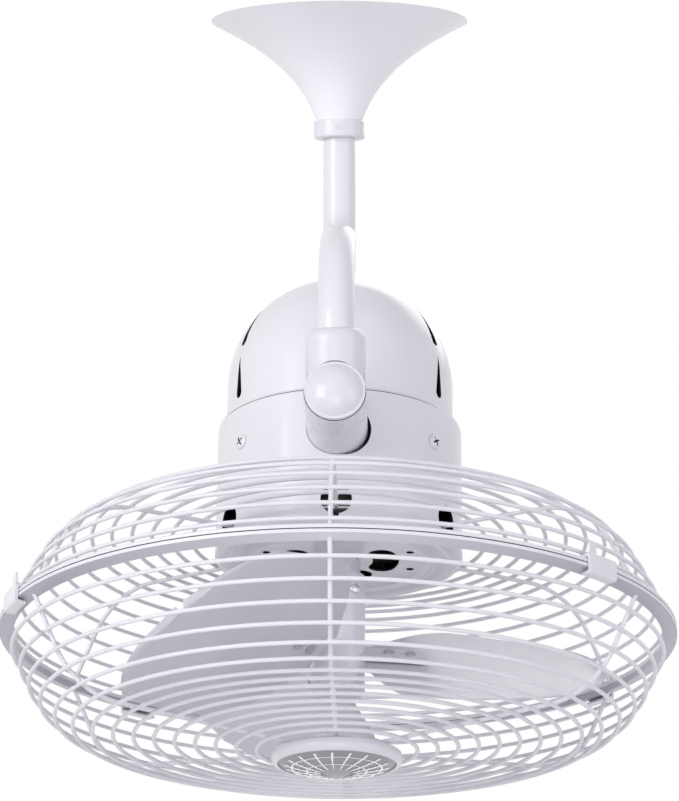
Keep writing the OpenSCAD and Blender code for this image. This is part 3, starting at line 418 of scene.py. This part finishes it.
bm = bmesh.new()
revolve(bm, [(RING_R, -RING_FRONT)] + arc(*shoulder, SHOULDER_R, 0, 90, 12)
        + [(DRUM_LIP_R, RING_BACK), (DRUM_LIP_R, RING_BACK - DRUM_WALL)]
        + arc(*shoulder, SHOULDER_R - DRUM_WALL, 90, 0, 8) + [(RING_R - DRUM_WALL, -RING_FRONT)], 192, True)
drum = new_object("motor_drum", bm, HEAD, [enamel, painted_shade_black])
vents = []
for az in RIB_AZ:
    vents.append(cutter(circle(VENT_R, 40), -8, 8, side_frame(az, RING_R, RING_FRONT - 12.0)))
    vents.append(cutter(VENT_SLIT, -8, 8, side_frame(az, RING_R, RING_FRONT)))
combine(drum, vents + neck_cutters(0.0), "DIFFERENCE")
# The inside of the drum and the walls of its vents and neck opening get the near-black painted shade
second_material(drum, HEAD, lambda c: across(c) < RING_R - 0.4 and c.z < RING_BACK - 2.4)
keep(drum, "head", "white_enamel", "motor_housing")

# Face plate: a pressed disc with rolled beads and kidney vents
KIDNEY_AZ = (90, 180, 270)
KIDNEY = (22, 39, 50)
SMALL_HOLE_AZ = (70, 110, -70, -110)
SMALL_HOLE_R = 2.5
SMALL_HOLE_RING = 49


def polar(azimuth, r):
    """A place in the front frame: X to the right, Y towards the knob side."""
    a = math.radians(azimuth)
    return r * math.sin(a), r * math.cos(a)


def kidney(azimuth, r0, r1, span):
    """The outline of a curved vent with round ends: two radii and the angle between the ends' middles."""
    mid = (r0 + r1) / 2
    half = (r1 - r0) / 2
    a0 = 90 - azimuth - span / 2
    a1 = 90 - azimuth + span / 2
    x1, y1 = mid * math.cos(math.radians(a1)), mid * math.sin(math.radians(a1))
    x0, y0 = mid * math.cos(math.radians(a0)), mid * math.sin(math.radians(a0))
    return (arc(0, 0, r1, a0, a1, 20) + arc(x1, y1, half, a1, a1 + 180, 12)[1:-1]
            + arc(0, 0, r0, a1, a0, 20) + arc(x0, y0, half, a0 + 180, a0 + 360, 12)[1:-1])


PLATE_HUB = [(8, -11), (8, 2.2), (12, 2.2), (13.5, 1.5)]
INNER_BEAD = [(51, 1.5), (53, 2.2), (54.6, 3.6), (57, 4.0), (59.4, 3.6), (61, 2.2), (62.5, 1.5)]
OUTER_BEAD = [(68, 1.5), (69.6, 2.6), (71.5, 3.8), (74, 4.2), (76.6, 3.6), (78.8, 2.2), (80, 0.6)]
PLATE_BACK = [(80, 0), (78.3, 0), (78.3, -3), (76.8, -3), (76.8, 0), (14, 0), (14, -11)]
plate_place = front_frame(RING_FRONT)

bm = bmesh.new()
revolve(bm, PLATE_HUB + INNER_BEAD + OUTER_BEAD + PLATE_BACK, 160, True)
plate = new_object("face_plate", bm, plate_place, [enamel, painted_shade_black])
holes = [cutter(kidney(az, *KIDNEY), -4, 8, plate_place) for az in KIDNEY_AZ]
for az in SMALL_HOLE_AZ:
    holes.append(cutter(circle(SMALL_HOLE_R, 24, *polar(az, SMALL_HOLE_RING)), -4, 8, plate_place))
combine(plate, holes, "DIFFERENCE")
# The back of the face plate and the walls of its holes get the near-black painted shade
second_material(plate, plate_place, lambda c: c.z < 1.2 and across(c) < 79)
keep(plate, "head", "white_enamel", "front_plate")

# Pegs behind the plate that carry the cage, and its bolt posts
PEG_AZ = (40, 140, -140, -40)
PEG_RING = 71.8
BOLT_AZ = (25, 155, -155, -25)
BOLT_RING = 64.5

bm = bmesh.new()
for az in PEG_AZ:
    x, y = polar(az, PEG_RING)
    prism(bm, circle(3, 24, x, y), -7.2, 0.5)
    prism(bm, circle(1.5, 16, x, y), -8.7, -7.2)
for az in BOLT_AZ:
    x, y = polar(az, BOLT_RING)
    prism(bm, circle(3.8, 24, x, y), -13, 0.5)
# The pegs and posts are all in the near-black painted shade
pegs = new_object("plate_pegs", bm, plate_place, [painted_shade_black])
keep(pegs, "head", "white_enamel")

# Cross recess pan head screws
SCREW_AZ = (50, 130, -130, -50)
SCREW_R = 5.1
SCREW_TOP = 2.2
SCREW_HEAD = [(SCREW_R, 0), (SCREW_R, 0.7), (SCREW_R * 0.93, 1.25), (SCREW_R * 0.8, 1.7),
              (SCREW_R * 0.6, 2.0), (SCREW_R * 0.3, SCREW_TOP), (0, SCREW_TOP)]


def cross_cutters(place):
    """Two crossed bars that cut the recess of a screw."""
    long, thin = SCREW_R * 0.6, SCREW_R * 0.11
    bar = [(-long, -thin), (long, -thin), (long, thin), (-long, thin)]
    turns = [Matrix.Rotation(math.radians(a), 4, "Z") for a in (28, 118)]
    return [cutter(bar, SCREW_TOP * 0.3, SCREW_TOP + 2, place @ turn) for turn in turns]


for i, az in enumerate(SCREW_AZ):
    place = side_frame(az, RING_R - 0.1, 0)
    bm = bmesh.new()
    revolve(bm, [(0, -8), (1.9, -8), (1.9, 0)] + SCREW_HEAD, 40)
    screw = new_object("housing_screw_%d" % (i + 1), bm, place, [screw_white, painted_shade_black])
    combine(screw, cross_cutters(place), "DIFFERENCE")
    # The cross recess gets the near-black painted shade
    second_material(screw, place, lambda c: across(c) < SCREW_R * 0.61 and 0.3 < c.z < 1.75)
    keep(screw, "head", "white_enamel", *(("housing_screws",) if i == 0 else ()))

# Knuckle: sleeve and boss in one casting
BOSS_R = 19.3
BOSS_ROUND = 1.4
SLEEVE_R = 18.5
SLEEVE_ROUND = 7.0
SLEEVE_TOP = -205.4
SLEEVE_LOW = -253.5
boss_l = BOSS_OUT - BOSS_IN

bm = bmesh.new()
revolve(bm, [(0, 0), (BOSS_R - 1, 0), (BOSS_R, 1.0)]
        + arc(BOSS_R - BOSS_ROUND, boss_l - BOSS_ROUND, BOSS_ROUND, 0, 90, 6) + [(0, boss_l)], 128)
knuckle = new_object("knuckle_casting", bm, neck_frame(BOSS_IN), [cast])
bm = bmesh.new()
revolve(bm, [(0, SLEEVE_LOW), (SLEEVE_R, SLEEVE_LOW)]
        + arc(SLEEVE_R - SLEEVE_ROUND, SLEEVE_TOP - SLEEVE_ROUND, SLEEVE_ROUND, 0, 90, 12)
        + [(0, SLEEVE_TOP)], 128)
sleeve = new_object("sleeve", bm, Matrix.Translation((0, -ARM_Y * MM, 0)), [cast])
combine(knuckle, [sleeve], "UNION")
knob_space = cutter(circle(19.2, 96), BOSS_OUT + 0.2, BOSS_OUT + 40, neck_frame(0))
combine(knuckle, [knob_space], "DIFFERENCE")
smooth(knuckle, 40)
keep(knuckle, "tilt_arm", "white_plastic", "arm_knuckle")

# Black washer between the boss and the knob, a little wider than the knob: its black edge is painted shade
# for the shadow gap under the knob
bm = bmesh.new()
revolve(bm, [(4.3, 0.02), (18.95, 0.02), (19.05, 0.3), (18.95, 0.56), (4.3, 0.56)], 96, True)
washer = new_object("knob_shadow_washer", bm, neck_frame(BOSS_OUT), [rubber])
keep(washer, "tilt_arm", "black_rubber")

# Badge: a white bezel round a domed metal disc with plain flutes
BEZEL_OUT = [(0, 1.2), (38.5, 1.2), (40.6, 2.2), (41.5, 4.0), (41.4, 6.0), (40.4, 8.4), (39.0, 9.6)]
BEZEL_IN = [(37.8, 9.8), (37.2, 9.2), (37.0, 8.0), (37.0, 3.0), (0, 3.0)]
badge_place = front_frame(BADGE_H)

bm = bmesh.new()
revolve(bm, BEZEL_OUT + BEZEL_IN, 160)
bezel = new_object("badge_bezel", bm, badge_place, [plastic])
keep(bezel, "head", "white_plastic", "badge_cap")

FLUTES = 18
DISC_R = 36.8
DISC_Z = 8.0
DISC_EDGE = 0.6
DISC_RISE = 6.5
RIDGE = 0.9
RING_RIDGES = (19, 28.5)


def flute(r, z, t):
    """Lifts narrow curved ridges, and two plain rings, between the centre and the rim of the disc."""
    fade = max(0.0, min(1.0, (r - 8) / 4)) * max(0.0, min(1.0, (DISC_R - 2.5 - r) / 2))
    ridge = max(0.0, math.cos(FLUTES * t + 0.06 * r)) ** 10
    ring = max(math.exp(-((r - middle) / 0.8) ** 2) for middle in RING_RIDGES)
    return r, z + RIDGE * fade * max(ridge, 0.7 * ring)


def fluted(r, z, t):
    """Keeps the flat back of the disc and lifts its front."""
    return flute(r, z, t) if z > DISC_Z + 0.3 else (r, z)


def is_ridge(c):
    return c.z > DISC_Z + 0.4 and flute(across(c), 0.0, math.atan2(c.y, c.x))[1] > 0.42


bm = bmesh.new()
disc_radii = [DISC_R - 0.5 * k for k in range(int(DISC_R / 0.5) + 1)]
disc_front = [(r, DISC_Z + DISC_EDGE + DISC_RISE * (1 - (r / DISC_R) ** 2)) for r in disc_radii]
disc_back = [(0, DISC_Z), (DISC_R, DISC_Z)]
revolve(bm, disc_back + disc_front + [(0, DISC_Z + DISC_EDGE + DISC_RISE)], 540, False, fluted)
medal = new_object("badge_medallion", bm, badge_place, [badge_metal, badge_painted_highlight], 60)
# The ridges get the bright metal as painted highlight
second_material(medal, badge_place, is_ridge, 60)
keep(medal, "head", "badge_metal", "badge_disc")

# Windings: lobed bundles
COIL_R = 48.5
COIL_Z = 2.6
COIL_LOBES = 16
COIL_HALF = 5.3
COIL_RISE = 2.0


def lobed(r, z, t):
    """Spreads a unit circle to the bundle's section, thicker in each lobe."""
    grow = 1.0 + 0.12 * abs(math.sin(COIL_LOBES / 2 * t)) ** 0.5
    return COIL_R + (r - COIL_R) * COIL_HALF * grow, COIL_Z + (z - COIL_Z) * COIL_RISE * grow


def winding(name, height, node):
    bm = bmesh.new()
    revolve(bm, arc(COIL_R, COIL_Z, 1.0, 0, 345, 23), 256, True, lobed)
    coil = new_object(name, bm, front_frame(height), [varnish_and_shade], 60)
    keep(coil, "head", "copper_wire", node)


winding("coil_rear", 18.75, "rear_winding")
winding("coil_front", 46.0, "front_winding")

# Black seal that fills the gap between the two guard rims
SEAL_IN = GUARD_R - 7.5
SEAL_OUT = GUARD_R - 0.35
SEAL_HALF = 0.33
rim_place = front_frame(GUARD_H)

bm = bmesh.new()
revolve(bm, [(SEAL_IN, -SEAL_HALF), (SEAL_OUT, -SEAL_HALF), (SEAL_OUT, SEAL_HALF), (SEAL_IN, SEAL_HALF)],
        256, True)
seal = new_object("rim_seal", bm, rim_place, [rubber])
keep(seal, "head", "black_rubber", "rim_gasket")

# The band of the lower rim gets painted shade for its rolled edge: darker than the wire paint, and darker
# again towards the left and right
rim = nodes["front_guard"]
rim.data.materials.append(rim_painted_shade)
mark_faces(rim, rim.matrix_world.inverted() @ rim_place,
           lambda c: GUARD_R - 9.4 < across(c) < GUARD_R - 0.5 and 1.0 < c.z < 4.6)


# Snap clips: a channel over both rims with a thumb ear at one end
def sweep(bm, profile, az0, az1, steps):
    """A closed shell: the profile of radius and height, both from the rim, swept between two azimuths."""
    rows = []
    for i in range(steps + 1):
        az = az0 + (az1 - az0) * i / steps
        rows.append([bm.verts.new((*polar(az, GUARD_R + r), h)) for r, h in profile])
    count = len(profile)
    for a, b in zip(rows, rows[1:]):
        for j in range(count):
            k = (j + 1) % count
            bm.faces.new((a[j], b[j], b[k], a[k]))
    bm.faces.new(rows[0])
    bm.faces.new(rows[-1][::-1])


CLIP_CHANNEL = [(-5, -5.6), (0.9, -6.2), (1.9, -5.6), (2.2, -4.4), (2.2, 4.6), (1.8, 5.8), (0.6, 6.6),
                (-5, 6.7), (-5, 5.4), (0.2, 4.4), (0.2, -3.6), (-5, -4.0)]
CLIP_EAR = [(0.8, -5.4), (2.1, -4.8), (2.3, -11.6), (1.9, -12.6), (1.2, -12.8), (0.9, -12.0)]
CLIP_AZ = (-66, 47, 125, -138)
CLIP_HALF = math.degrees(12 / GUARD_R)
EAR_SPAN = math.degrees(5.5 / GUARD_R)
for i, az in enumerate(CLIP_AZ):
    to_knob = 1 if az < 0 else -1
    bm = bmesh.new()
    sweep(bm, CLIP_CHANNEL, az - CLIP_HALF, az + CLIP_HALF, 10)
    sweep(bm, CLIP_EAR, az + to_knob * CLIP_HALF, az + to_knob * (CLIP_HALF - EAR_SPAN), 3)
    clip = new_object("snap_clip_%d" % (i + 1), bm, rim_place, [plastic])
    keep(clip, "head", "white_plastic", "guard_clip_%d" % (i + 1))

# Blades: the same pressed surface as the solids, with finer faces
HUB_R = 17.3
BLADE_R = 169.0
ROOT_PITCH = 39.0
TIP_PITCH = 28.0
BLADE_H = 128.0
BLADE_T = 1.2
BLADE_AZ = (88, 208, 328)
ALONG = 56
ACROSS = 48


def bow(u, a, b, c):
    """A curve through a at 0, b at a half and c at 1."""
    return a * (1 - u) * (1 - 2 * u) + b * 4 * u * (1 - u) + c * u * (2 * u - 1)


def blade_chord(u, v):
    """Distance across the blade: u runs from root to tip, v from -1 to 1 across."""
    tip = math.sqrt(max(0.0025, 1 - max(0.0, (u - 0.77) / 0.23) ** 4.5))
    if v < 0:
        half = bow(u, 50, 76, 68) * (0.3 + 0.7 * math.sin(math.pi / 2 * min(1, u / 0.2)))
    else:
        half = bow(u, 58, 65, 57) * (0.25 + 0.75 * math.sin(math.pi / 2 * min(1, u / 0.4)))
    return v * tip * half


def blade_point(u, v, lift):
    """A point of the pitched and dished sheet, lifted by a part of its thickness."""
    w = blade_chord(u, v)
    p = math.radians(ROOT_PITCH + (TIP_PITCH - ROOT_PITCH) * u ** 0.72)
    camber = 5 * (1 - v * v) * u
    t = w * math.cos(p) + camber * math.sin(p)
    z = w * math.sin(p) - camber * math.cos(p)
    root = HUB_R + 0.25
    r = root + (BLADE_R - root) * u
    return math.sqrt(max(1, r * r - (t * u) ** 2)), t, BLADE_H + 10 * u - z + lift


def blade_face(bm, lift):
    """The grid of points of one face of the sheet."""
    return [[bm.verts.new(blade_point(i / ALONG, 2 * j / ACROSS - 1, lift)) for j in range(ACROSS + 1)]
            for i in range(ALONG + 1)]


def close_sheet(bm, low, high):
    """Faces on both sides of the sheet and round its edge."""
    for i in range(ALONG):
        for j in range(ACROSS):
            bm.faces.new((low[i][j], low[i][j + 1], low[i + 1][j + 1], low[i + 1][j]))
            bm.faces.new((high[i][j], high[i + 1][j], high[i + 1][j + 1], high[i][j + 1]))
    for i in range(ALONG):
        bm.faces.new((low[i][0], low[i + 1][0], high[i + 1][0], high[i][0]))
        bm.faces.new((low[i][ACROSS], high[i][ACROSS], high[i + 1][ACROSS], low[i + 1][ACROSS]))
    for j in range(ACROSS):
        bm.faces.new((low[0][j], high[0][j], high[0][j + 1], low[0][j + 1]))
        bm.faces.new((low[ALONG][j], low[ALONG][j + 1], high[ALONG][j + 1], high[ALONG][j]))


for k, az in enumerate(BLADE_AZ):
    bm = bmesh.new()
    close_sheet(bm, blade_face(bm, -BLADE_T / 2), blade_face(bm, BLADE_T / 2))
    turn = Matrix.Rotation(math.radians(az) - math.pi / 2, 4, "Z")
    place = HEAD @ Matrix.Scale(-1, 4, (0, 0, 1)) @ turn
    blade = new_object("fan_blade_%d" % (k + 1), bm, place, [blade_shaded_paint], 45)
    blade.data.flip_normals()
    keep(blade, "fan_wheel", "white_enamel", "blade_%d" % (k + 1))

# Button head of the pin that locks the hub to the shaft
bm = bmesh.new()
revolve(bm, [(0, -1), (3.4, -1), (3.4, 0.5), (3.1, 1.2), (2.4, 1.8), (1.3, 2.1), (0, 2.2)], 32)
pin_head = new_object("hub_pin_head", bm, side_frame(38.6, HUB_R - 0.2, 86), [steel_light])
keep(pin_head, "fan_wheel", "steel")

# Weld beads where the guard's ribs cross its rings
WIRE_R = GUARD_R - 2.0
BEND = 56.0
FLANK = 63.0
FLANK_L = 39.0
RING_STEP = 12.9
BEAD_R = 1.55
BEAD_IN = 1.2


def wire_at(along, face):
    """Radius, depth and slope of a ring wire that lies along mm from the rim on the guard's profile."""
    s, c = math.sin(math.radians(FLANK)), math.cos(math.radians(FLANK))
    cx, cy = WIRE_R - FLANK_L * c - BEND * s, FLANK_L * s - BEND * c
    if along < FLANK_L:
        return WIRE_R - along * c, along * s, FLANK
    bend_l = BEND * math.radians(FLANK - face)
    if along < FLANK_L + bend_l:
        a = FLANK - math.degrees((along - FLANK_L) / BEND)
        return cx + BEND * math.sin(math.radians(a)), cy + BEND * math.cos(math.radians(a)), a
    rest_l = along - FLANK_L - bend_l
    a = math.radians(face)
    r = cx + BEND * math.sin(a) - rest_l * math.cos(a)
    depth = cy + BEND * math.cos(a) + rest_l * math.sin(a)
    return r, depth, face


def weld_beads(name, side, start, count, face):
    """Beads on all ribs of one half of the cage: side is -1 for the front and 1 for the rear."""
    bm = bmesh.new()
    long_bead = Matrix.Diagonal((1.0, 1.35, 1.0, 1))
    for k in range(count):
        r, depth, a = wire_at(start + RING_STEP * k, face)
        a = math.radians(a)
        r -= BEAD_IN * math.sin(a)
        depth -= BEAD_IN * math.cos(a)
        for az in RIB_AZ:
            turn = Matrix.Rotation(math.radians(az) - math.pi / 2, 4, "Z")
            bead = turn @ Matrix.Translation((r, 0, depth)) @ long_bead
            bmesh.ops.create_icosphere(bm, subdivisions=2, radius=BEAD_R, matrix=bead)
    place = HEAD @ Matrix.Translation((0, 0, -GUARD_H * MM)) @ Matrix.Scale(side, 4, (0, 0, 1))
    beads = new_object(name, bm, place, [wire_paint], 60)
    keep(beads, "head", "white_wire")


weld_beads("front_welds", -1, 15, 15, 4)
weld_beads("rear_welds", 1, 9, 12, 0.5)

# Stage
bpy.ops.mesh.primitive_plane_add(size=14, location=(0, 1.0, -1.6))
floor = bpy.context.object
floor.name = "studio_floor"
bpy.ops.mesh.primitive_plane_add(size=14, location=(0, 3.5, 0), rotation=(math.pi / 2, 0, 0))
wall = bpy.context.object
wall.name = "studio_wall"


def seen_white(tree, lit, lit_output, white, white_output, end):
    """Shows plain white to the camera, to gloss and to glass, and the lit shader to all other rays."""
    path = tree.nodes.new("ShaderNodeLightPath")
    first = tree.nodes.new("ShaderNodeMath")
    first.operation = "MAXIMUM"
    second = tree.nodes.new("ShaderNodeMath")
    second.operation = "MAXIMUM"
    mix = tree.nodes.new("ShaderNodeMixShader")
    link(tree, path, "Is Camera Ray", first, 0)
    link(tree, path, "Is Glossy Ray", first, 1)
    link(tree, first, "Value", second, 0)
    link(tree, path, "Is Transmission Ray", second, 1)
    link(tree, second, "Value", mix, 0)
    link(tree, lit, lit_output, mix, 1)
    link(tree, white, white_output, mix, 2)
    link(tree, mix, "Shader", end, "Surface")


paper = bpy.data.materials.new("studio_paper")
paper.use_nodes = True
nt = paper.node_tree
nt.nodes.clear()
out = nt.nodes.new("ShaderNodeOutputMaterial")
diff = nt.nodes.new("ShaderNodeBsdfDiffuse")
diff.inputs["Color"].default_value = (0.8, 0.8, 0.8, 1)
glow = nt.nodes.new("ShaderNodeEmission")
glow.inputs["Strength"].default_value = 1.0
glow.inputs["Color"].default_value = (1, 1, 1, 1)
seen_white(nt, diff, "BSDF", glow, "Emission", out)
for s in (floor, wall):
    s.data.materials.append(paper)

world = bpy.data.worlds.new("studio")
bpy.context.scene.world = world
world.use_nodes = True
wn = world.node_tree
bg = wn.nodes["Background"]
bg.inputs["Color"].default_value = (0.95, 0.95, 1.0, 1)
bg.inputs["Strength"].default_value = 0.5
white = wn.nodes.new("ShaderNodeBackground")
white.inputs["Color"].default_value = (1, 1, 1, 1)
white.inputs["Strength"].default_value = 1.0
seen_white(wn, bg, "Background", white, "Background", wn.nodes["World Output"])

# Lamps
MIDDLE = (0, 0, -0.3)


def area(name, loc, size, power, color=(1, 1, 1)):
    """A soft lamp that looks at the middle of the fan."""
    d = bpy.data.lights.new(name, "AREA")
    d.shape = "RECTANGLE"
    d.size = size[0]
    d.size_y = size[1]
    d.energy = power
    d.color = color
    o = bpy.data.objects.new(name, d)
    bpy.context.scene.collection.objects.link(o)
    o.location = loc
    o.rotation_euler = (Vector(MIDDLE) - Vector(loc)).to_track_quat("-Z", "Y").to_euler()


area("key", (-1.6, -1.5, 0.5), (1.2, 1.4), 27)
area("fill", (1.9, -1.2, 0.1), (1.2, 1.6), 11, (0.95, 0.95, 1))
area("front", (0.1, -2.4, -0.6), (1.2, 1.0), 9, (0.97, 0.97, 1))
area("back", (0.6, 1.8, 0.6), (1.6, 1.0), 6)

# Camera: the photograph's frame is 679 by 801, and its focal length was fitted in pixels
FRAME_H = 801
FOCAL_PX = 2592
SENSOR = 36.0
VIEW_TURN = math.radians(1.3)
VIEW_UP = math.radians(0.81)
VIEW_FAR = 1.7
VIEW_Z = -0.2727
cam = bpy.data.cameras.new("view")
cam.sensor_width = SENSOR
cam.sensor_fit = "AUTO"
cam.lens = FOCAL_PX / FRAME_H * SENSOR
cam.clip_end = 50
cam_o = bpy.data.objects.new("view", cam)
bpy.context.scene.collection.objects.link(cam_o)
cam_o.location = (VIEW_FAR * math.sin(VIEW_TURN), -VIEW_FAR * math.cos(VIEW_TURN), VIEW_Z)
cam_o.rotation_euler = (math.pi / 2 + VIEW_UP, 0, VIEW_TURN)
bpy.context.scene.camera = cam_o
bpy.context.scene.view_settings.view_transform = "Standard"
